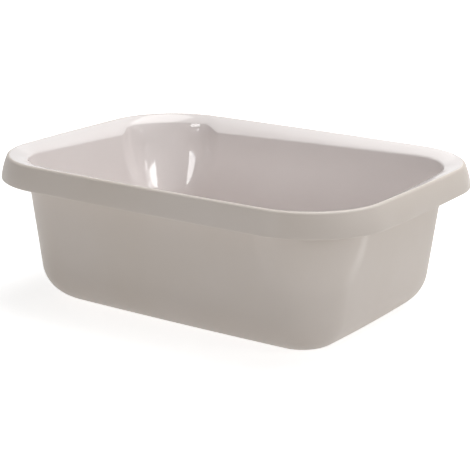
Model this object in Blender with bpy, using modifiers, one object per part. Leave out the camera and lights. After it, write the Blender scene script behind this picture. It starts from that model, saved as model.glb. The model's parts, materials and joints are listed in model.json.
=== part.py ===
"""Rectangular washing-up bowl, moulded in one thin-walled piece.

The tub has drafted, slightly bowed sides and well rounded corners. Its rim is a sloping ledge
that runs out to a rounded crest and turns down into a flared skirt. Two diagonally opposite
corners carry a pouring spout: a scoop pressed outward from the wall, deepest at the rim.

Units are metres. X is the long axis, Y the short one, +Z is up, and the origin is the centre
of the foot. Heights of the rim are counted down from the crest, and an inset is counted
inward from the crest's outline.
"""

import math

import bpy
import numpy as np

# Overall size, over the skirt
LENGTH = 0.380
WIDTH = 0.282
HEIGHT = 0.1336
WALL = 0.0020

# Rim: skirt, crest and ledge
SKIRT_DROP = 0.0204
SKIRT_FLARE = 0.0078
SKIRT_BULGE = 0.0006
CREST_UNDER_RADIUS = 0.0010
CREST_CORNER_RADIUS = 0.0624
CREST_BOW_LONG_SIDE = 0.0034
CREST_BOW_SHORT_SIDE = 0.0040
LEDGE_DROP = 0.0088
LEDGE_TILT = 0.0055
LEDGE_CROWN = math.radians(10.0)
LEDGE_UNDER_RADIUS = 0.0008

# Tub: walls and floor
TUB_INSET = 0.0127
TUB_BOW_LONG_SIDE = 0.0019
TUB_BOW_SHORT_SIDE = 0.0023
DRAFT = math.radians(7.1)
FLOOR_FILLET = 0.0374
FOOT_WIDTH = 0.0120
PANEL_RISE = 0.0015
PANEL_RAMP = 0.0060

# Pouring spouts
SPOUT_THROW = 0.0060
SPOUT_HALF_WIDTH = 0.0410
SPOUT_EDGE = 0.0054
SPOUT_EDGE_GROWTH = 0.0032
SPOUT_DEPTH = 0.0780
SPOUT_TAPER_SHARE = 0.64
SPOUT_SHOULDER = 0.0260

# Facets
PLAIN_CORNER_STEPS = 8
SPOUT_CORNER_STEPS = 10
SHOULDER_STEPS = 8
LONG_SIDE_STEPS = 6
SHORT_SIDE_STEPS = 5
SKIRT_STEPS = 3
CREST_STEPS = 5
LEDGE_STEPS = 4
EDGE_STEPS = 3
WALL_STEPS = 7
FILLET_STEPS = 7
RAMP_STEPS = 3

# Derived sizes of the upper skin, which the wall thickness backs from below
CREST_RADIUS = CREST_UNDER_RADIUS + WALL
EDGE_RADIUS = LEDGE_UNDER_RADIUS + WALL
HALF_LENGTH = LENGTH / 2 - SKIRT_FLARE - CREST_BOW_SHORT_SIDE
HALF_WIDTH = WIDTH / 2 - SKIRT_FLARE - CREST_BOW_LONG_SIDE
SLOPE = math.tan(DRAFT)
WALL_ANGLE = math.pi / 2 - DRAFT
INNER_INSET = TUB_INSET + WALL / math.cos(DRAFT)
FILLET_RADIUS = FLOOR_FILLET - WALL
FILLET_HEIGHT = WALL + FILLET_RADIUS
FILLET_INSET = INNER_INSET + (HEIGHT - FILLET_HEIGHT) * SLOPE + FILLET_RADIUS / math.cos(DRAFT)
WALL_FOOT_DROP = HEIGHT - FILLET_HEIGHT + FILLET_RADIUS * math.sin(DRAFT)
WALL_FOOT_INSET = INNER_INSET + WALL_FOOT_DROP * SLOPE
WALL_FOOT_CORNER = CREST_CORNER_RADIUS - WALL_FOOT_INSET

PLASTIC_COLOUR = (0.56, 0.52, 0.49, 1.0)
PLASTIC_ROUGHNESS = 0.25


def clear_scene():
    """Removes every object, so that a second run starts afresh."""
    for item in list(bpy.data.objects):
        bpy.data.objects.remove(item, do_unlink=True)


def smoothstep(share):
    """Eases from 0 to 1 with level ends."""
    share = np.clip(share, 0.0, 1.0)
    return share * share * (3.0 - 2.0 * share)


def corner_radius(inset):
    """Plan radius of a corner: the crest's radius less the inset, never used up on the floor."""
    past = np.maximum(inset - WALL_FOOT_INSET, 0.0)
    return np.where(
        past > 0.0,
        WALL_FOOT_CORNER**2 / (WALL_FOOT_CORNER + past),
        CREST_CORNER_RADIUS - inset,
    )


class Station:
    """One place along the plan outline: on a corner's arc or on the straight run of a side."""

    def __init__(self, corner, angle=None, run=None):
        self.corner = corner
        self.angle = angle
        self.run = run

    def place(self, inset, radius):
        """Plan position for an inset and its corner radius, before the sides are bowed."""
        sign_x, sign_y = self.corner
        reach_x = HALF_LENGTH - inset - radius
        reach_y = HALF_WIDTH - inset - radius
        if self.angle is not None:
            return (
                sign_x * reach_x + radius * math.cos(self.angle),
                sign_y * reach_y + radius * math.sin(self.angle),
            )
        along, share = self.run
        if along == "x":
            tangent, full = reach_x, HALF_LENGTH - CREST_CORNER_RADIUS
        else:
            tangent, full = reach_y, HALF_WIDTH - CREST_CORNER_RADIUS
        shoulder = tangent * (1.0 - SPOUT_SHOULDER / full)
        # Shares up to 1 lie on the spout's shoulder, and from 1 to 2 on the rest of the side
        if share <= 1.0:
            position = tangent + (shoulder - tangent) * share
        else:
            position = shoulder - (shoulder + tangent) * (share - 1.0)
        if along == "x":
            return sign_x * position, sign_y * (HALF_WIDTH - inset)
        return sign_x * (HALF_LENGTH - inset), sign_y * position


def stations():
    """The stations of one ring as a list, anticlockwise from the start of the +X +Y corner."""
    ring = []
    for turn in (1, -1):
        # The plain corner, between +X and +Y or between -X and -Y
        first = 0.0 if turn == 1 else math.pi
        for step in range(PLAIN_CORNER_STEPS + 1):
            angle = first + math.pi / 2 * step / PLAIN_CORNER_STEPS
            ring.append(Station((turn, turn), angle=angle))
        # The long side towards the next spout, then that spout's corner
        spout = (-turn, turn)
        for step in range(1, LONG_SIDE_STEPS):
            ring.append(Station(spout, run=("x", 2.0 - step / LONG_SIDE_STEPS)))
        for step in range(SHOULDER_STEPS):
            ring.append(Station(spout, run=("x", 1.0 - step / SHOULDER_STEPS)))
        for step in range(SPOUT_CORNER_STEPS + 1):
            angle = first + math.pi / 2 + math.pi / 2 * step / SPOUT_CORNER_STEPS
            ring.append(Station(spout, angle=angle))
        # The short side away from the spout
        for step in range(1, SHOULDER_STEPS + 1):
            ring.append(Station(spout, run=("y", step / SHOULDER_STEPS)))
        for step in range(1, SHORT_SIDE_STEPS):
            ring.append(Station(spout, run=("y", 1.0 + step / SHORT_SIDE_STEPS)))
    return ring


def plan(ring, inset):
    """Plan positions of all stations for their insets, with the sides bowed."""
    radius = corner_radius(inset)
    flat = np.array([s.place(i, r) for s, i, r in zip(ring, inset, radius)])
    half_x, half_y = HALF_LENGTH - inset, HALF_WIDTH - inset
    # The crest bows more than the tub, and the ledge blends the two
    blend = smoothstep(1.0 - inset / INNER_INSET)
    bow_long = TUB_BOW_LONG_SIDE + (CREST_BOW_LONG_SIDE - TUB_BOW_LONG_SIDE) * blend
    bow_short = TUB_BOW_SHORT_SIDE + (CREST_BOW_SHORT_SIDE - TUB_BOW_SHORT_SIDE) * blend
    share_x, share_y = flat[:, 0] / half_x, flat[:, 1] / half_y
    return np.column_stack(
        [
            flat[:, 0] + bow_short * share_x * (1.0 - share_y**2),
            flat[:, 1] + bow_long * share_y * (1.0 - share_x**2),
        ]
    )


def spout_reach(points, depth):
    """How fully a spout scoops out plan points at a share of its depth: 1 inside it, 0 outside."""
    half_width = SPOUT_HALF_WIDTH * np.sqrt(1.0 - SPOUT_TAPER_SHARE * depth**2)
    edge = SPOUT_EDGE + SPOUT_EDGE_GROWTH * depth
    centre = np.array([CREST_CORNER_RADIUS - HALF_LENGTH, HALF_WIDTH - CREST_CORNER_RADIUS])
    reach = np.zeros(len(points))
    for side in (1.0, -1.0):
        # The spout's corner lies at -X +Y for side 1 and opposite for side -1
        offset = points * side - centre
        outward = offset[:, 1] - offset[:, 0] > 0.0
        across = np.abs(offset[:, 0] + offset[:, 1]) / math.sqrt(2.0)
        reach += outward * smoothstep((half_width + edge - across) / (2.0 * edge))
    return reach


class Rim:
    """The ledge of every station: where it meets the wall, and its slope down to there."""

    def __init__(self, ring):
        crest = plan(ring, np.zeros(len(ring)))
        # The ledge falls towards the spouts and rises towards the plain corners
        fall = -crest[:, 0] * crest[:, 1] / (HALF_LENGTH * HALF_WIDTH)
        drop = LEDGE_DROP + LEDGE_TILT * fall
        inset = INNER_INSET + drop * SLOPE
        distance = np.hypot(inset, drop - CREST_RADIUS)
        self.tilt = np.arcsin(CREST_RADIUS / distance) + np.arctan2(drop - CREST_RADIUS, inset)
        # A spout's wall meets the same ledge farther out, and so higher up
        push = SPOUT_THROW * spout_reach(plan(ring, inset), np.zeros(len(ring)))
        cut = push / (1.0 - np.tan(self.tilt) * SLOPE)
        self.inset = inset - cut
        self.drop = drop - cut * np.tan(self.tilt)


def rim_section(rim):
    """Section of the rim as (inset, drop) arrays, from the skirt's lip to the top of the wall."""
    rows = []
    # Skirt: from the lip up to its tangent on the crest's round
    rise = SKIRT_DROP - CREST_RADIUS
    lean = math.acos(CREST_RADIUS / math.hypot(SKIRT_FLARE, rise)) - math.atan2(rise, SKIRT_FLARE)
    top = np.array([-CREST_RADIUS * math.cos(lean), CREST_RADIUS * (1.0 - math.sin(lean))])
    lip = np.array([-SKIRT_FLARE, SKIRT_DROP])
    out = np.array([-math.cos(lean), -math.sin(lean)])
    for step in range(SKIRT_STEPS):
        share = step / SKIRT_STEPS
        spot = lip + (top - lip) * share + out * SKIRT_BULGE * 4.0 * share * (1.0 - share)
        rows.append((np.full_like(rim.tilt, spot[0]), np.full_like(rim.tilt, spot[1])))
    # Crest: an arc from the skirt's lean over to the outer end of the ledge
    first = lean - math.pi / 2
    flat = rim.tilt - LEDGE_CROWN
    for step in range(CREST_STEPS + 1):
        angle = first + (flat - first) * step / CREST_STEPS
        rows.append((CREST_RADIUS * np.sin(angle), CREST_RADIUS * (1.0 - np.cos(angle))))
    # Ledge: a crowned curve, flatter than its tilt at the crest and steeper at the inner edge
    steep = rim.tilt + LEDGE_CROWN
    tangent = EDGE_RADIUS * np.tan((WALL_ANGLE - steep) / 2)
    start = rows[-1]
    end = (rim.inset - np.cos(steep) * tangent, rim.drop - np.sin(steep) * tangent)
    run, fall = end[0] - start[0], end[1] - start[1]
    reach = (run * np.sin(steep) - fall * np.cos(steep)) / math.sin(2.0 * LEDGE_CROWN)
    pull = (start[0] + reach * np.cos(flat), start[1] + reach * np.sin(flat))
    for step in range(1, LEDGE_STEPS):
        share = step / LEDGE_STEPS
        rest = 1.0 - share
        rows.append(
            tuple(
                a * rest**2 + b * 2.0 * rest * share + c * share**2
                for a, b, c in zip(start, pull, end)
            )
        )
    # Rounded inner edge, from the ledge over to the wall
    middle = (end[0] - EDGE_RADIUS * np.sin(steep), end[1] + EDGE_RADIUS * np.cos(steep))
    for step in range(EDGE_STEPS + 1):
        angle = steep + (WALL_ANGLE - steep) * step / EDGE_STEPS
        rows.append((middle[0] + EDGE_RADIUS * np.sin(angle), middle[1] - EDGE_RADIUS * np.cos(angle)))
    return rows


def tub_section(ring, rim, top):
    """Section from the wall's top, given as its drops, down to the edge of the floor panel."""
    rows = []
    for step in range(1, WALL_STEPS):
        drop = top + (WALL_FOOT_DROP - top) * step / WALL_STEPS
        inset = INNER_INSET + drop * SLOPE
        # The spouts curve back into the wall and narrow on their way down
        depth = np.clip((drop - rim.drop) / (SPOUT_DEPTH - rim.drop), 0.0, 1.0)
        push = SPOUT_THROW * (1.0 - depth**2) * spout_reach(plan(ring, inset), depth)
        rows.append((inset - push, drop))
    flat = np.ones_like(top)
    for step in range(FILLET_STEPS + 1):
        angle = DRAFT + (math.pi / 2 - DRAFT) * step / FILLET_STEPS
        inset = FILLET_INSET - FILLET_RADIUS * math.cos(angle)
        drop = HEIGHT - FILLET_HEIGHT + FILLET_RADIUS * math.sin(angle)
        rows.append((flat * inset, flat * drop))
    for step in range(RAMP_STEPS + 1):
        share = step / RAMP_STEPS
        inset = FILLET_INSET + FOOT_WIDTH + PANEL_RAMP * share
        rows.append((flat * inset, flat * (HEIGHT - WALL - PANEL_RISE * smoothstep(share))))
    return rows


def upper_skin():
    """Points and faces of the bowl's upper skin, lofted from ring to ring and closed by the panel."""
    ring = stations()
    count = len(ring)
    rim = Rim(ring)
    rows = rim_section(rim)
    rows += tub_section(ring, rim, rows[-1][1])
    points = [np.column_stack([plan(ring, inset), HEIGHT - drop]) for inset, drop in rows]
    faces = []
    for row in range(len(rows) - 1):
        start, above = row * count, (row + 1) * count
        for k in range(count):
            after = (k + 1) % count
            faces.append((start + k, start + after, above + after, above + k))
    last = (len(rows) - 1) * count
    faces.append(tuple(last + k for k in range(count)))
    return np.concatenate(points), faces


def plastic():
    """Warm light grey polypropylene."""
    material = bpy.data.materials.new("plastic")
    material.use_nodes = True
    shader = material.node_tree.nodes["Principled BSDF"]
    shader.inputs["Base Color"].default_value = PLASTIC_COLOUR
    shader.inputs["Roughness"].default_value = PLASTIC_ROUGHNESS
    shader.inputs["Metallic"].default_value = 0.0
    return material


def make_bowl(collection):
    """The bowl: the lofted upper skin, thickened downwards and outwards into a closed shell."""
    points, faces = upper_skin()
    mesh = bpy.data.meshes.new("bowl")
    mesh.from_pydata(points.tolist(), [], faces)
    mesh.materials.append(plastic())
    mesh.shade_smooth()
    bowl = bpy.data.objects.new("bowl", mesh)
    collection.objects.link(bowl)
    shell = bowl.modifiers.new("wall", "SOLIDIFY")
    shell.thickness = WALL
    shell.offset = -1.0
    shell.use_even_offset = True
    shell.use_quality_normals = True
    return bowl


def main():
    clear_scene()
    collection = bpy.data.collections.new("rectangular_bowl")
    bpy.context.scene.collection.children.link(collection)
    make_bowl(collection)


main()
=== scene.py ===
"""Looks for a rectangular washing-up bowl, moulded in one thin-walled piece of grey plastic.

The bowl's surface is worked out as one closed grid. One parameter runs round the plan outline,
the other along the section: from the middle of the floor up the inside, over the rim, round the
skirt's lip and back down the outside. Lengths are in metres, +Z is up, and the frame is the
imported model's own. Heights of the rim are counted down from the crest, and an inset is counted
inward from the crest's outline.
"""

from __future__ import annotations

import json
import logging
import math
from dataclasses import dataclass, field
from enum import Enum

import bpy
import numpy as np
from mathutils import Matrix, Vector

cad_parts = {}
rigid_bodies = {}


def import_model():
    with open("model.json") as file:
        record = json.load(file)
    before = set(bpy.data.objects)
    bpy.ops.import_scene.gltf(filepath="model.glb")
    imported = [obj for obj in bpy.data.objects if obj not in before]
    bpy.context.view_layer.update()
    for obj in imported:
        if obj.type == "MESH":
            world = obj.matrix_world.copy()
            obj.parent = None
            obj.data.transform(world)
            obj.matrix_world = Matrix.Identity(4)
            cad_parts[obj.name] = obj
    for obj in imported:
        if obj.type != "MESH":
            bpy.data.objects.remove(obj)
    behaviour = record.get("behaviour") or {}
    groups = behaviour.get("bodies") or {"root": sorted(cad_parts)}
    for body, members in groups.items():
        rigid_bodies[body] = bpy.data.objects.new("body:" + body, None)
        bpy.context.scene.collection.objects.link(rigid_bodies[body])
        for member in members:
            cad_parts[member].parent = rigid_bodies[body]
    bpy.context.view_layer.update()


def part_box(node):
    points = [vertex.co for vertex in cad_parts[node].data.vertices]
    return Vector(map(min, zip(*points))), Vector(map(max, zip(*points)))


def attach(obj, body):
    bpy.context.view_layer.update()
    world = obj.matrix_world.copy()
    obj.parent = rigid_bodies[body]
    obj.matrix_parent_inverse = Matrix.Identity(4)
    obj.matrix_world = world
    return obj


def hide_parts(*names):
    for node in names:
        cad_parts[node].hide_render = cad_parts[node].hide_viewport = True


log = logging.getLogger("washing_up_bowl")

IMAGE_SIDE = 470
SENSOR_WIDTH = 36.0
WHITE = (1.0, 1.0, 1.0, 1.0)


class Run(Enum):
    """Where a station of the plan outline lies."""

    ARC = 0
    LONG_SIDE = 1
    SHORT_SIDE = 2


def smoothstep(share: np.ndarray) -> np.ndarray:
    """Eases from 0 to 1 with level ends: 3 s^2 - 2 s^3 on the clipped share s."""
    share = np.clip(share, 0.0, 1.0)
    return share * share * (3.0 - 2.0 * share)


def direction(turn: float, rise: float) -> Vector:
    """Unit vector towards an azimuth, counted from -Y towards +X, and an elevation, in radians."""
    return Vector(
        (math.sin(turn) * math.cos(rise), -math.cos(turn) * math.cos(rise), math.sin(rise))
    )


@dataclass(frozen=True)
class RimSizes:
    """Sizes of the skirt, the crest and the sloping ledge inside it."""

    skirt_drop: float = 0.0204
    skirt_flare: float = 0.0078
    skirt_bulge: float = 0.0006
    crest_radius: float = 0.0030
    corner_radius: float = 0.0624
    bow_long_side: float = 0.0034
    bow_short_side: float = 0.0040
    ledge_drop: float = 0.0088
    ledge_tilt: float = 0.0055
    ledge_crown: float = math.radians(10.0)
    edge_radius: float = 0.0028


@dataclass(frozen=True)
class TubSizes:
    """Sizes of the walls, the rounded heel and the floor."""

    inset: float = 0.0127
    bow_long_side: float = 0.0019
    bow_short_side: float = 0.0023
    draft: float = math.radians(7.1)
    heel_radius: float = 0.0354
    foot_width: float = 0.0120
    panel_rise: float = 0.0015
    panel_ramp: float = 0.0060


@dataclass(frozen=True)
class SpoutSizes:
    """Sizes of the two pouring spouts, pressed outward from opposite corners."""

    throw: float = 0.0060
    half_width: float = 0.0400
    edge: float = 0.0080
    edge_growth: float = 0.0010
    depth: float = 0.0720
    taper_share: float = 0.64
    shoulder: float = 0.0260
    fall_start: float = 0.45
    fall_ease: float = 0.20
    foot_softness: float = 0.05


@dataclass(frozen=True)
class Facets:
    """How finely each stretch of the outline and of the section is cut.

    The polish, and with it the inside's lighter painted-light colour, fades out over the first
    few of the crest's rows.
    """

    plain_corner: int = 26
    spout_corner: int = 40
    shoulder: int = 22
    long_side: int = 24
    short_side: int = 18
    skirt: int = 10
    crest: int = 16
    polish_fade: int = 4
    ledge: int = 12
    edge: int = 12
    wall: int = 44
    heel: int = 20
    foot: int = 3
    ramp: int = 6
    panel: int = 6
    lip: int = 6


@dataclass
class Outline:
    """Stations of one ring round the bowl, anticlockwise from the start of the +X +Y corner.

    Each station keeps its corner's signs, its kind of run, its angle on a corner's arc and its
    share along a side: up to 1 on the spout's shoulder, and from 1 to 2 on the rest of the side.
    """

    facets: Facets
    corner: np.ndarray = field(init=False)
    run: np.ndarray = field(init=False)
    angle: np.ndarray = field(init=False)
    share: np.ndarray = field(init=False)

    def __post_init__(self) -> None:
        """Lays the stations out, one array per stretch."""
        cuts = self.facets
        pieces = []
        for turn in (1.0, -1.0):
            start = 0.0 if turn > 0 else math.pi
            plain, spout = (turn, turn), (-turn, turn)
            quarter = math.pi / 2
            plain_arc = start + quarter * np.linspace(0.0, 1.0, cuts.plain_corner + 1)
            spout_arc = start + quarter + quarter * np.linspace(0.0, 1.0, cuts.spout_corner + 1)
            shoulder = np.linspace(1.0, 0.0, cuts.shoulder, endpoint=False)
            long_side = 2.0 - np.linspace(0.0, 1.0, cuts.long_side + 1)[1:-1]
            short_side = 1.0 + np.linspace(0.0, 1.0, cuts.short_side + 1)[1:-1]
            pieces.append((plain, Run.ARC, plain_arc, np.zeros_like(plain_arc)))
            pieces.append((spout, Run.LONG_SIDE, np.zeros_like(long_side), long_side))
            pieces.append((spout, Run.LONG_SIDE, np.zeros_like(shoulder), shoulder))
            pieces.append((spout, Run.ARC, spout_arc, np.zeros_like(spout_arc)))
            pieces.append((spout, Run.SHORT_SIDE, np.zeros_like(shoulder), shoulder[::-1]))
            pieces.append((spout, Run.SHORT_SIDE, np.zeros_like(short_side), short_side))
        self.corner = np.concatenate([np.tile(c, (len(a), 1)) for c, _, a, _ in pieces])
        self.run = np.concatenate([np.full(len(a), r.value) for _, r, a, _ in pieces])
        self.angle = np.concatenate([a for _, _, a, _ in pieces])
        self.share = np.concatenate([s for _, _, _, s in pieces])

    def __len__(self) -> int:
        """Number of stations."""
        return len(self.angle)


@dataclass
class Bowl:
    """The bowl's shell: tub, rim, skirt and both spouts in one moulding."""

    length: float
    width: float
    height: float
    wall: float = 0.0020
    lip_radius: float = 0.0008
    rim: RimSizes = RimSizes()
    tub: TubSizes = TubSizes()
    spout: SpoutSizes = SpoutSizes()
    facets: Facets = Facets()

    def __post_init__(self) -> None:
        """Works out the sizes that follow from the named ones."""
        rim, tub = self.rim, self.tub
        self.half_x = self.length / 2 - rim.skirt_flare - rim.bow_short_side
        self.half_y = self.width / 2 - rim.skirt_flare - rim.bow_long_side
        self.slope = math.tan(tub.draft)
        self.wall_angle = math.pi / 2 - tub.draft
        self.inner_inset = tub.inset + self.wall / math.cos(tub.draft)
        self.heel_height = self.wall + tub.heel_radius
        fall = self.height - self.heel_height
        self.heel_inset = (
            self.inner_inset + fall * self.slope + tub.heel_radius / math.cos(tub.draft)
        )
        self.foot_drop = fall + tub.heel_radius * math.sin(tub.draft)
        self.foot_inset = self.inner_inset + self.foot_drop * self.slope
        self.foot_corner = rim.corner_radius - self.foot_inset
        self.outline = Outline(self.facets)

    def corner_radius(self, inset: np.ndarray) -> np.ndarray:
        """Plan radius of a corner: the crest's radius R less the inset i.

        So all arcs of a corner share a centre. Past the wall's foot, where R - i is r, it falls as
        r^2 / (r + extra) and is never used up.
        """
        past = np.maximum(inset - self.foot_inset, 0.0)
        kept = self.foot_corner**2 / (self.foot_corner + past)
        return np.where(past > 0.0, kept, self.rim.corner_radius - inset)

    def plan(self, inset: np.ndarray) -> np.ndarray:
        """Plan positions of all stations.

        A corner's station lies on an arc about (X - i - r, Y - i - r), where X and Y are the half
        sizes, i is the inset and r the corner's radius. A side's station lies on the straight line
        between two arcs. Then x grows by b * sx * (1 - sy^2), where sx and sy are the shares of
        the half sizes and b is the bow, and y likewise.

        Args:
            inset: inset of each station from the crest's outline.

        Returns:
            One (x, y) pair per station.
        """
        ring, rim, tub = self.outline, self.rim, self.tub
        radius = self.corner_radius(inset)
        reach = np.column_stack([self.half_x - inset - radius, self.half_y - inset - radius])
        side = np.column_stack([self.half_x - inset, self.half_y - inset])
        arc = ring.corner * reach
        arc += radius[:, None] * np.column_stack([np.cos(ring.angle), np.sin(ring.angle)])
        full = np.array([self.half_x, self.half_y]) - rim.corner_radius
        shoulder = reach * (1.0 - self.spout.shoulder / full)
        share = ring.share[:, None]
        near = reach + (shoulder - reach) * share
        far = shoulder - (shoulder + reach) * (share - 1.0)
        along = ring.corner * np.where(share <= 1.0, near, far)
        across = ring.corner * side
        on_long = np.column_stack([along[:, 0], across[:, 1]])
        on_short = np.column_stack([across[:, 0], along[:, 1]])
        run = ring.run[:, None]
        flat = np.where(run == Run.LONG_SIDE.value, on_long, on_short)
        flat = np.where(run == Run.ARC.value, arc, flat)
        blend = smoothstep(1.0 - inset / self.inner_inset)
        bow_y = tub.bow_long_side + (rim.bow_long_side - tub.bow_long_side) * blend
        bow_x = tub.bow_short_side + (rim.bow_short_side - tub.bow_short_side) * blend
        share_x, share_y = (flat / side).T
        flat[:, 0] += bow_x * share_x * (1.0 - share_y**2)
        flat[:, 1] += bow_y * share_y * (1.0 - share_x**2)
        return flat

    def spout_reach(self, points: np.ndarray, depth: np.ndarray) -> np.ndarray:
        """How fully a spout scoops out plan points: 1 inside its width w, 0 outside.

        With a the distance from the corner's diagonal and e half the width of the edge, it is a
        smoothstep of (w + e - a) / 2e, where w falls as the root of 1 - taper * depth^2 and e
        grows with the depth.

        Args:
            points: plan positions.
            depth: share of the spout's depth at each of them.

        Returns:
            The share of the spout's throw at each point.
        """
        spout = self.spout
        within = np.clip(depth, 0.0, 1.0)
        half_width = spout.half_width * np.sqrt(1.0 - spout.taper_share * within**2)
        edge = spout.edge + spout.edge_growth * within
        radius = self.rim.corner_radius
        centre = np.array([radius - self.half_x, self.half_y - radius])
        reach = np.zeros(len(points))
        for side in (1.0, -1.0):
            offset = points * side - centre
            outward = offset[:, 1] - offset[:, 0] > 0.0
            across = np.abs(offset[:, 0] + offset[:, 1]) / math.sqrt(2.0)
            reach += outward * smoothstep((half_width + edge - across) / (2.0 * edge))
        return reach

    def ledge(self) -> tuple[np.ndarray, ...]:
        """Where each station's ledge meets the wall, and how far it tilts down to there.

        Its chord is the line from the crest's round to the wall. It falls by c = -x y / (X Y)
        towards the spouts. A spout's wall, pushed out by p, meets the same line farther out by
        p / (1 - tan(tilt) * slope), and so higher up.

        Returns:
            Arrays of the inset and the drop there, and of the chord's tilt.
        """
        level = np.zeros(len(self.outline))
        crest = self.plan(level)
        fall = -crest[:, 0] * crest[:, 1] / (self.half_x * self.half_y)
        drop = self.rim.ledge_drop + self.rim.ledge_tilt * fall
        inset = self.inner_inset + drop * self.slope
        below = drop - self.rim.crest_radius
        tilt = np.arcsin(self.rim.crest_radius / np.hypot(inset, below)) + np.arctan2(below, inset)
        push = self.spout.throw * self.spout_reach(self.plan(inset), level)
        cut = push / (1.0 - np.tan(tilt) * self.slope)
        return inset - cut, drop - cut * np.tan(tilt), tilt

    def rim_rows(self) -> list[tuple[np.ndarray, np.ndarray]]:
        """Section of the rim from the top of the wall to the skirt's lip.

        It is an arc over the ledge's inner edge, a crowned ledge, an arc over the crest, and the
        skirt: a line from the crest's tangent to the lip, bulged by 4 b s (1 - s). The ledge is
        the parabola p0 (1 - s)^2 + 2 p1 s (1 - s) + p2 s^2 between the ends of the two arcs, with
        p1 where their tangents meet, steeper than its chord inside and flatter outside.

        Returns:
            (inset, drop) arrays, one pair per row.
        """
        rim, cuts = self.rim, self.facets
        inset, drop, tilt = self.ledge()
        steep, flat = tilt + rim.ledge_crown, tilt - rim.ledge_crown
        rows = []
        tangent = rim.edge_radius * np.tan((self.wall_angle - steep) / 2)
        start = (inset - np.cos(steep) * tangent, drop - np.sin(steep) * tangent)
        middle_inset = start[0] - rim.edge_radius * np.sin(steep)
        middle_drop = start[1] + rim.edge_radius * np.cos(steep)
        for share in np.linspace(1.0, 0.0, cuts.edge + 1):
            angle = steep + (self.wall_angle - steep) * share
            rows.append(
                (
                    middle_inset + rim.edge_radius * np.sin(angle),
                    middle_drop - rim.edge_radius * np.cos(angle),
                )
            )
        end = (rim.crest_radius * np.sin(flat), rim.crest_radius * (1.0 - np.cos(flat)))
        run, fall = start[0] - end[0], start[1] - end[1]
        reach = (run * np.sin(steep) - fall * np.cos(steep)) / math.sin(2.0 * rim.ledge_crown)
        pull = (end[0] + reach * np.cos(flat), end[1] + reach * np.sin(flat))
        for share in np.linspace(0.0, 1.0, cuts.ledge + 1)[1:-1]:
            rest = 1.0 - share
            rows.append(
                tuple(
                    a * rest**2 + b * 2.0 * rest * share + c * share**2
                    for a, b, c in zip(start, pull, end)
                )
            )
        rise = rim.skirt_drop - rim.crest_radius
        reach = math.hypot(rim.skirt_flare, rise)
        lean = math.acos(rim.crest_radius / reach) - math.atan2(rise, rim.skirt_flare)
        last = lean - math.pi / 2
        for share in np.linspace(0.0, 1.0, cuts.crest + 1):
            angle = flat + (last - flat) * share
            fall = rim.crest_radius * (1.0 - np.cos(angle))
            rows.append((rim.crest_radius * np.sin(angle), fall))
        out = np.array([-math.cos(lean), -math.sin(lean)])
        top = rim.crest_radius * np.array([-math.cos(lean), 1.0 - math.sin(lean)])
        lip = np.array([-rim.skirt_flare, rim.skirt_drop])
        lip += (top - lip) * self.lip_radius / np.linalg.norm(top - lip)
        for share in np.linspace(0.0, 1.0, cuts.skirt + 1)[1:]:
            bulge = out * rim.skirt_bulge * 4.0 * share * (1.0 - share)
            spot = top + (lip - top) * share + bulge
            rows.append((np.full_like(tilt, spot[0]), np.full_like(tilt, spot[1])))
        return rows

    def spout_fall(self, depth: np.ndarray) -> np.ndarray:
        """How far a spout has closed: 0 above the start of its fall, and then a straight line.

        With p the depth past the start, it is (p + sqrt(p^2 + e^2)) / 2, which eases the turn.
        """
        past = depth - self.spout.fall_start
        return (past + np.sqrt(past**2 + self.spout.fall_ease**2)) / 2.0

    def tub_rows(self) -> list[tuple[np.ndarray, np.ndarray]]:
        """Section of the tub from the floor panel's edge up to the top of the wall.

        The panel's edge is a smoothstep, the heel an arc that starts level and ends at the
        wall's draft, and the wall a line. A spout pushes it out by throw * f, where f falls
        from 1 to 0 over its depth, with its crease at the foot softened in the same way as the
        start of its fall.

        Returns:
            (inset, drop) arrays, one pair per row.
        """
        tub, cuts, spout = self.tub, self.facets, self.spout
        flat = np.ones(len(self.outline))
        rows = []
        _, edge_drop, _ = self.ledge()
        for share in np.linspace(1.0, 0.0, cuts.ramp + 1):
            inset = self.heel_inset + tub.foot_width + tub.panel_ramp * share
            rise = tub.panel_rise * float(smoothstep(np.array(share)))
            rows.append((flat * inset, flat * (self.height - self.wall - rise)))
        for share in np.linspace(1.0, 0.0, cuts.foot + 1)[1:-1]:
            inset = self.heel_inset + tub.foot_width * share
            rows.append((flat * inset, flat * (self.height - self.wall)))
        for share in np.linspace(1.0, 0.0, cuts.heel + 1):
            angle = tub.draft + (math.pi / 2 - tub.draft) * share
            inset = self.heel_inset - tub.heel_radius * math.cos(angle)
            drop = self.height - self.heel_height + tub.heel_radius * math.sin(angle)
            rows.append((flat * inset, flat * drop))
        top = self.rim_rows()[0][1]
        for share in np.linspace(0.0, 1.0, cuts.wall + 1)[1:-1]:
            drop = self.foot_drop + (top - self.foot_drop) * share
            inset = self.inner_inset + drop * self.slope
            depth = (drop - edge_drop) / (spout.depth - edge_drop)
            left = 1.0 - self.spout_fall(depth) / self.spout_fall(np.array(1.0))
            fade = (left + np.sqrt(left**2 + spout.foot_softness**2)) / 2.0
            reach = self.spout_reach(self.plan(inset), depth)
            rows.append((inset - spout.throw * np.minimum(fade, 1.0) * reach, drop))
        return rows

    def upper_skin(self) -> np.ndarray:
        """The skin that faces up and in, from the middle of the floor to the skirt's lip.

        Returns:
            Points as an array of rows, stations and coordinates. The first row is one point.
        """
        rows = self.tub_rows() + self.rim_rows()
        rings = [np.column_stack([self.plan(i), self.height - d]) for i, d in rows]
        centre = np.array([0.0, 0.0, rings[0][0, 2]])
        shares = np.linspace(0.0, 1.0, self.facets.panel + 1)[:-1]
        panel = [centre + (rings[0] - centre) * share for share in shares]
        return np.array(panel + rings)

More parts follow.
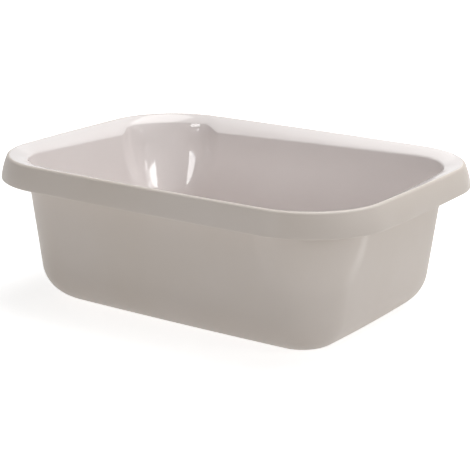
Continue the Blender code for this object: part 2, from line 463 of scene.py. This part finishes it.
    def shell(self) -> np.ndarray:
        """The closed shell, from the floor's middle over the rim to the underside's middle.

        The lower skin is the upper one moved by the wall's thickness against its normals, which
        are the cross products of the grid's two central differences. The lip between the two is
        half an ellipse about the middle of the wall.

        Returns:
            Points as an array of rows, stations and coordinates.
        """
        upper = self.upper_skin()
        round_way = np.roll(upper, -1, axis=1) - np.roll(upper, 1, axis=1)
        up_way = np.gradient(upper, axis=0)
        normal = np.cross(up_way, round_way)
        first = self.facets.panel
        normal[:first] = np.array([0.0, 0.0, 1.0])
        normal /= np.linalg.norm(normal, axis=2, keepdims=True)
        normal *= np.where(normal[first, :, 2].mean() > 0.0, 1.0, -1.0)
        normal[:first] = np.array([0.0, 0.0, 1.0])
        lower = upper - self.wall * normal
        tip = upper[-1] - upper[-2]
        tip /= np.linalg.norm(tip, axis=1, keepdims=True)
        middle = (upper[-1] + lower[-1]) / 2
        angles = np.linspace(0.0, math.pi, self.facets.lip + 1)[1:-1]
        lip = [
            middle
            + normal[-1] * self.wall / 2 * math.cos(angle)
            + tip * self.lip_radius * math.sin(angle)
            for angle in angles
        ]
        return np.concatenate([upper, np.array(lip), lower[::-1]])

    def build(self, finish: "MouldedPlastic") -> bpy.types.Object:
        """Makes the bowl's object, with its UV map and its material.

        Args:
            finish: the plastic's finish.

        Returns:
            The new object, linked to the scene.
        """
        points = self.shell()
        rows, columns = points.shape[:2]
        grid = GridMesh("bowl_shell", points)
        piece = grid.build()
        cuts = self.facets
        crest_start = cuts.panel + len(self.tub_rows()) + cuts.edge + cuts.ledge
        past = np.arange(rows) - crest_start
        # 1 on the polished inside, which is painted lighter as painted light, fading to 0 on the
        # textured outside, which is painted darker as painted shade.
        polished = np.clip(1.0 - past / cuts.polish_fade, 0.0, 1.0)
        grid.attribute(piece, finish.side_name, np.repeat(polished, columns))
        piece.data.materials.append(finish.material())
        log.info("%s: %d rows of %d stations", piece.name, rows, columns)
        return piece


@dataclass
class GridMesh:
    """A closed surface of rings, whose first and last rings are single points."""

    name: str
    points: np.ndarray

    def corners(self) -> tuple[np.ndarray, np.ndarray]:
        """Grid rows and columns of all quads' corners, so turned that the quads face outwards."""
        rows, columns = self.points.shape[:2]
        row, column = np.meshgrid(np.arange(rows - 1), np.arange(columns), indexing="ij")
        row, column = row.ravel(), column.ravel()
        return (
            np.column_stack([row, row + 1, row + 1, row]),
            np.column_stack([column, column, column + 1, column + 1]),
        )

    def kept(self) -> np.ndarray:
        """Which grid points become vertices: of the first and the last ring only one each."""
        rows, columns = self.points.shape[:2]
        kept = np.ones((rows, columns), bool)
        kept[[0, -1], 1:] = False
        return kept.ravel()

    def build(self) -> bpy.types.Object:
        """Makes the mesh with its poles closed, and a UV map in metres along the surface.

        U is the length along the widest ring, and V the mean length along the section.

        Returns:
            The new object, linked to the scene.
        """
        rows, columns = self.points.shape[:2]
        mesh = bpy.data.meshes.new(self.name)
        row, column = self.corners()
        index = row * columns + column % columns
        first, last = row[:, 0] == 0, row[:, 2] == rows - 1
        pole_up = index[first][:, [0, 1, 2]]
        pole_up[:, 0] = 0
        pole_down = index[last][:, [0, 1, 3]]
        pole_down[:, 1] = (rows - 1) * columns
        quads = index[~(first | last)]
        kept = self.kept()
        number = np.cumsum(kept) - 1
        faces = [part.tolist() for part in (number[quads], number[pole_up], number[pole_down])]
        vertices = self.points.reshape(-1, 3)[kept]
        mesh.from_pydata(vertices.tolist(), [], faces[0] + faces[1] + faces[2])
        self.map_surface(mesh, row, column, first, last)
        mesh.shade_smooth()
        mesh.validate()
        piece = bpy.data.objects.new(self.name, mesh)
        bpy.context.scene.collection.objects.link(piece)
        return piece

    def map_surface(
        self,
        mesh: bpy.types.Mesh,
        row: np.ndarray,
        column: np.ndarray,
        first: np.ndarray,
        last: np.ndarray,
    ) -> None:
        """Writes the UV map, corner by corner, in the order of the faces.

        Args:
            mesh: the mesh whose faces are quads, then both poles' triangles.
            row: grid rows of each quad's corners.
            column: grid columns of each quad's corners.
            first: which quads touch the first pole.
            last: which quads touch the last pole.
        """
        size = np.ptp(self.points[:, :, 0], axis=1)
        widest = self.points[int(np.argmax(size))]
        steps = np.linalg.norm(np.roll(widest, -1, axis=0) - widest, axis=1)
        along = np.concatenate([[0.0], np.cumsum(steps)])
        climb = np.linalg.norm(np.diff(self.points, axis=0), axis=2).mean(axis=1)
        up = np.concatenate([[0.0], np.cumsum(climb)])
        corner = np.stack([along[column], up[row]], axis=2)
        inner = corner[~(first | last)].reshape(-1, 2)
        pole_up = corner[first][:, [0, 1, 2]].reshape(-1, 2)
        pole_down = corner[last][:, [0, 1, 3]].reshape(-1, 2)
        layer = mesh.uv_layers.new(name="surface")
        layer.data.foreach_set("uv", np.concatenate([inner, pole_up, pole_down]).ravel())

    def attribute(self, piece: bpy.types.Object, name: str, values: np.ndarray) -> None:
        """Stores one value per grid point, such as which side is glossy and painted lighter."""
        layer = piece.data.attributes.new(name, "FLOAT", "POINT")
        layer.data.foreach_set("value", values[self.kept()].astype(np.float32))


@dataclass(frozen=True)
class MouldedPlastic:
    """Warm light grey polypropylene, polished inside and finely textured outside.
    The inside's colours are painted lighter and the outside's painted darker: lit and shaded
    copies of one plastic, as painted light and painted shade.

    Each side drifts between its colour and its shade. Polish and satin are the roughness of the
    inside and the outside, and each varies by its spread. The scales are in cycles per metre.
    """

    # Painted light and shade: the inside's colours are lighter and the outside's darker, as lit
    # and shaded copies of one plastic. Within each side, the second colour is only the random
    # drift.
    inside: tuple[float, float, float] = (0.790, 0.742, 0.726)
    inside_shade: tuple[float, float, float] = (0.765, 0.712, 0.696)
    outside: tuple[float, float, float] = (0.650, 0.588, 0.540)
    outside_shade: tuple[float, float, float] = (0.620, 0.554, 0.494)
    refraction: float = 1.49
    specular: float = 0.5
    polish: float = 0.045
    polish_spread: float = 0.2
    satin: float = 0.46
    satin_spread: float = 0.1
    drift_scale: float = 8.0
    drift_detail: float = 3.0
    drift_span: tuple[float, float] = (0.3, 0.7)
    cloud_scale: float = 70.0
    cloud_detail: float = 2.0
    grain_scale: float = 1100.0
    grain_detail: float = 2.0
    grain_height: float = 0.00004
    wave_scale: float = 22.0
    wave_detail: float = 1.0
    wave_height: float = 0.00008
    # Name of the mask that sets the polish and also the painted light inside and the painted shade
    # outside.
    side_name: str = "gloss_and_painted_light_side"

    def material(self) -> bpy.types.Material:
        """Builds the material.

        Returns:
            A material whose colour drifts slightly, as flow in the mould leaves it, and whose
            roughness and bump differ between the polished and the textured side. Its colour is
            painted lighter inside and darker outside, as painted light and painted shade.
        """
        material = bpy.data.materials.new("moulded_plastic")
        material.use_nodes = True
        tree = material.node_tree
        shader = tree.nodes["Principled BSDF"]
        shader.inputs["IOR"].default_value = self.refraction
        shader.inputs["Specular IOR Level"].default_value = self.specular
        # Reads the mask that sets each side's polish and also its painted light or painted shade.
        side = tree.nodes.new("ShaderNodeAttribute")
        side.attribute_name = self.side_name
        self.paint(tree, side.outputs["Fac"], shader.inputs["Base Color"])
        self.polish_and_grain(tree, side.outputs["Fac"], shader)
        return material

    @staticmethod
    def noise(tree: bpy.types.NodeTree, scale: float, detail: float) -> bpy.types.NodeSocket:
        """A noise on Object coordinates, from 0 to 1.

        Args:
            tree: the material's nodes.
            scale: its cycles per metre.
            detail: how many finer octaves it has.

        Returns:
            The noise's value.
        """
        place = tree.nodes.new("ShaderNodeTexCoord")
        noise = tree.nodes.new("ShaderNodeTexNoise")
        noise.inputs["Scale"].default_value = scale
        noise.inputs["Detail"].default_value = detail
        tree.links.new(place.outputs["Object"], noise.inputs["Vector"])
        return noise.outputs["Fac"]

    @staticmethod
    def spread(
        tree: bpy.types.NodeTree,
        value: bpy.types.NodeSocket,
        ends: tuple[float, float],
        source: tuple[float, float] = (0.0, 1.0),
    ) -> bpy.types.NodeSocket:
        """Maps a value from its source range onto the two ends, and holds it between them.

        Args:
            tree: the material's nodes.
            value: the value to map.
            ends: what the two ends of the source range become.
            source: the source range.

        Returns:
            The mapped value.
        """
        span = tree.nodes.new("ShaderNodeMapRange")
        span.inputs["From Min"].default_value, span.inputs["From Max"].default_value = source
        span.inputs["To Min"].default_value, span.inputs["To Max"].default_value = ends
        tree.links.new(value, span.inputs["Value"])
        return span.outputs["Result"]

    def paint(
        self, tree: bpy.types.NodeTree, side: bpy.types.NodeSocket, target: bpy.types.NodeSocket
    ) -> None:
        """Colours both sides, each drifting between its two tones. The inside's pair is painted
        lighter and the outside's pair painted darker, as painted light and painted shade.

        Args:
            tree: the material's nodes.
            side: 1 on the polished side and 0 on the textured one. It also picks the lighter,
                painted-light colours inside and the darker, painted-shade colours outside.
            target: the shader's colour socket.
        """
        flow = self.noise(tree, self.drift_scale, self.drift_detail)
        drift = self.spread(tree, flow, (0.0, 1.0), self.drift_span)
        # The inside pair is painted lighter and the outside pair painted darker: painted light and
        # painted shade.
        lit_and_shaded_pairs = ((self.outside_shade, self.outside), (self.inside_shade, self.inside))
        tones = []
        for shade, colour in lit_and_shaded_pairs:
            mix = tree.nodes.new("ShaderNodeMix")
            mix.data_type = "RGBA"
            mix.inputs["A"].default_value = (*shade, 1.0)
            mix.inputs["B"].default_value = (*colour, 1.0)
            tree.links.new(drift, mix.inputs["Factor"])
            tones.append(mix.outputs["Result"])
        both = tree.nodes.new("ShaderNodeMix")
        both.data_type = "RGBA"
        tree.links.new(side, both.inputs["Factor"])
        tree.links.new(tones[0], both.inputs["A"])
        tree.links.new(tones[1], both.inputs["B"])
        tree.links.new(both.outputs["Result"], target)

    def polish_and_grain(
        self, tree: bpy.types.NodeTree, side: bpy.types.NodeSocket, shader: bpy.types.ShaderNode
    ) -> None:
        """Gives the two sides their gloss, the outside a fine grain and the whole a slow wave.

        Args:
            tree: the material's nodes.
            side: 1 on the polished side and 0 on the textured one.
            shader: the shader that takes the roughness and the normal.
        """
        cloud = self.noise(tree, self.cloud_scale, self.cloud_detail)
        rough = tree.nodes.new("ShaderNodeMix")
        tree.links.new(side, rough.inputs["Factor"])
        finishes = (("A", self.satin, self.satin_spread), ("B", self.polish, self.polish_spread))
        for socket, middle, share in finishes:
            ends = (middle * (1.0 - share), middle * (1.0 + share))
            tree.links.new(self.spread(tree, cloud, ends), rough.inputs[socket])
        tree.links.new(rough.outputs["Result"], shader.inputs["Roughness"])
        wave = tree.nodes.new("ShaderNodeBump")
        wave.inputs["Distance"].default_value = self.wave_height
        slow = self.noise(tree, self.wave_scale, self.wave_detail)
        tree.links.new(slow, wave.inputs["Height"])
        grain = tree.nodes.new("ShaderNodeBump")
        grain.inputs["Distance"].default_value = self.grain_height
        tree.links.new(self.spread(tree, side, (1.0, 0.0)), grain.inputs["Strength"])
        fine = self.noise(tree, self.grain_scale, self.grain_detail)
        tree.links.new(fine, grain.inputs["Height"])
        tree.links.new(wave.outputs["Normal"], grain.inputs["Normal"])
        tree.links.new(grain.outputs["Normal"], shader.inputs["Normal"])


@dataclass(frozen=True)
class Softbox:
    """One rectangular studio lamp that faces the bowl.

    Its place is an azimuth, counted from the camera's side towards +X, an elevation and a
    distance, all in degrees and metres from the middle of the bowl.
    """

    name: str
    azimuth: float
    elevation: float
    distance: float
    width: float
    height: float
    power: float

    def build(self, camera_azimuth: float, aim: Vector) -> bpy.types.Object:
        """Makes the lamp.

        Args:
            camera_azimuth: the camera's azimuth in radians, counted from -Y towards +X.
            aim: the point that the lamp faces.

        Returns:
            The lamp's object.
        """
        lamp = bpy.data.lights.new(self.name, "AREA")
        lamp.shape = "RECTANGLE"
        lamp.size = self.width
        lamp.size_y = self.height
        lamp.energy = self.power
        holder = bpy.data.objects.new(self.name, lamp)
        bpy.context.scene.collection.objects.link(holder)
        turn = camera_azimuth + math.radians(self.azimuth)
        away = direction(turn, math.radians(self.elevation))
        holder.location = aim + away * self.distance
        holder.rotation_euler = (-away).to_track_quat("-Z", "Y").to_euler()
        return holder


@dataclass
class Studio:
    """White glowing table, white surroundings, softboxes all round and the camera.

    The table glows a little for every ray. To the camera and in a gloss it has its own white,
    which grows from table_white within shadow_reach of the middle to full white at white_from,
    so that the shadow shows near the bowl. The surroundings light the bowl by the fill alone.
    """

    azimuth: float = math.radians(34.0948)
    elevation: float = math.radians(16.1665)
    roll: float = math.radians(0.3755)
    distance: float = 1.31483
    slide_right: float = 0.00064
    slide_up: float = -0.06913
    focal_pixels: float = 1504.15
    clip_end: float = 50.0
    floor_side: float = 6.0
    floor_shade: float = 0.82
    floor_roughness: float = 0.9
    aim: tuple[float, float, float] = (0.0, 0.0, 0.1336)
    lamps: tuple[Softbox, ...] = (
        Softbox("softbox_behind", 182.0, 38.0, 2.8, 3.2, 1.98, 8.0),
        Softbox("softbox_right", 56.3, 15.2, 1.93, 0.67, 0.17, 4.3),
        Softbox("softbox_left", -45.4, 12.5, 2.10, 0.74, 0.33, 7.0),
        Softbox("softbox_front_right", 35.0, 36.0, 2.2, 1.20, 0.70, 3.0),
        Softbox("softbox_above", 109.0, 74.0, 0.95, 0.95, 0.95, 10.8),
        Softbox("softbox_far_right", 95.0, 12.0, 2.2, 1.60, 0.80, 3.0),
        Softbox("softbox_far_left", -110.0, 24.0, 2.2, 1.60, 1.00, 1.0),
    )
    table_glow: float = 0.22
    table_white: float = 0.50
    shadow_reach: float = 0.35
    white_from: float = 1.30
    fill: float = 0.01

    def floor(self) -> bpy.types.Object:
        """Makes the floor: pale, and white to the camera farther out, with its shadow kept.

        Returns:
            The floor's object.
        """
        half = self.floor_side / 2
        corners = [(-half, -half, 0.0), (half, -half, 0.0), (half, half, 0.0), (-half, half, 0.0)]
        mesh = bpy.data.meshes.new("floor")
        mesh.from_pydata(corners, [], [(0, 1, 2, 3)])
        floor = bpy.data.objects.new("floor", mesh)
        bpy.context.scene.collection.objects.link(floor)
        material = bpy.data.materials.new("floor_white")
        material.use_nodes = True
        tree = material.node_tree
        shader = tree.nodes["Principled BSDF"]
        shader.inputs["Base Color"].default_value = (*[self.floor_shade] * 3, 1.0)
        shader.inputs["Roughness"].default_value = self.floor_roughness
        shader.inputs["Specular IOR Level"].default_value = 0.0
        shader.inputs["Emission Color"].default_value = WHITE
        place = tree.nodes.new("ShaderNodeTexCoord")
        away = tree.nodes.new("ShaderNodeVectorMath")
        away.operation = "LENGTH"
        white = tree.nodes.new("ShaderNodeMapRange")
        white.inputs["From Min"].default_value = self.shadow_reach
        white.inputs["From Max"].default_value = self.white_from
        white.inputs["To Min"].default_value = self.table_white
        white.inputs["To Max"].default_value = 1.0
        glow = tree.nodes.new("ShaderNodeMath")
        glow.operation = "MULTIPLY_ADD"
        glow.inputs[2].default_value = self.table_glow
        tree.links.new(place.outputs["Object"], away.inputs[0])
        tree.links.new(away.outputs["Value"], white.inputs["Value"])
        tree.links.new(white.outputs["Result"], glow.inputs[1])
        tree.links.new(self.looks_at(tree), glow.inputs[0])
        tree.links.new(glow.outputs["Value"], shader.inputs["Emission Strength"])
        mesh.materials.append(material)
        return floor

    @staticmethod
    def looks_at(tree: bpy.types.NodeTree) -> bpy.types.NodeSocket:
        """1 for a ray from the camera, from a gloss or through a clear body, and 0 otherwise."""
        path = tree.nodes.new("ShaderNodeLightPath")
        seen = path.outputs["Is Camera Ray"]
        for kind in ("Is Glossy Ray", "Is Transmission Ray"):
            either = tree.nodes.new("ShaderNodeMath")
            either.operation = "MAXIMUM"
            tree.links.new(seen, either.inputs[0])
            tree.links.new(path.outputs[kind], either.inputs[1])
            seen = either.outputs["Value"]
        return seen

    def surroundings(self) -> None:
        """Sets the world: white where it is seen directly or in a reflection, dim elsewhere."""
        world = bpy.data.worlds.new("studio")
        bpy.context.scene.world = world
        world.use_nodes = True
        tree = world.node_tree
        tree.nodes.clear()
        white = tree.nodes.new("ShaderNodeBackground")
        dim = tree.nodes.new("ShaderNodeBackground")
        for shade, strength in ((white, 1.0), (dim, self.fill)):
            shade.inputs["Color"].default_value = WHITE
            shade.inputs["Strength"].default_value = strength
        mix = tree.nodes.new("ShaderNodeMixShader")
        output = tree.nodes.new("ShaderNodeOutputWorld")
        tree.links.new(self.looks_at(tree), mix.inputs["Fac"])
        tree.links.new(dim.outputs["Background"], mix.inputs[1])
        tree.links.new(white.outputs["Background"], mix.inputs[2])
        tree.links.new(mix.outputs["Shader"], output.inputs["Surface"])

    def camera(self) -> bpy.types.Object:
        """Makes the camera.

        It looks along minus the back axis, which points from the object at the azimuth, counted
        from -Y towards +X, and the elevation. The frame is turned by the roll, and the camera
        slides in its own plane.

        Returns:
            The camera's object.
        """
        back = direction(self.azimuth, self.elevation)
        level = Vector((math.cos(self.azimuth), math.sin(self.azimuth), 0.0))
        upright = back.cross(level)
        right = level * math.cos(self.roll) + upright * math.sin(self.roll)
        up = upright * math.cos(self.roll) - level * math.sin(self.roll)
        lens = bpy.data.cameras.new("camera")
        lens.sensor_width = SENSOR_WIDTH
        lens.lens = self.focal_pixels / IMAGE_SIDE * SENSOR_WIDTH
        lens.clip_end = self.clip_end
        holder = bpy.data.objects.new("camera", lens)
        bpy.context.scene.collection.objects.link(holder)
        place = Vector(self.aim) + back * self.distance
        place += right * self.slide_right + up * self.slide_up
        axes = Matrix((right, up, back)).transposed().to_4x4()
        holder.matrix_world = Matrix.Translation(place) @ axes
        bpy.context.scene.camera = holder
        return holder

    def build(self) -> None:
        """Builds the floor, the surroundings, the lamps and the camera."""
        self.floor()
        self.surroundings()
        for lamp in self.lamps:
            lamp.build(self.azimuth, Vector(self.aim))
            log.info("lamp %s, %.1f W", lamp.name, lamp.power)
        self.camera()
        bpy.context.scene.view_settings.view_transform = "Standard"


def clear_scene() -> None:
    """Removes what a new file starts with."""
    for item in list(bpy.data.objects):
        bpy.data.objects.remove(item, do_unlink=True)


def main() -> None:
    """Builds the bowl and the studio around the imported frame."""
    logging.basicConfig(level=logging.INFO, format="%(name)s: %(message)s")
    clear_scene()
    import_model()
    low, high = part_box("bowl")
    size = high - low
    bowl = Bowl(length=size.x, width=size.y, height=size.z)
    piece = bowl.build(MouldedPlastic())
    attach(piece, "root")
    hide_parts("bowl")
    Studio().build()


if __name__ == "__main__":
    main()
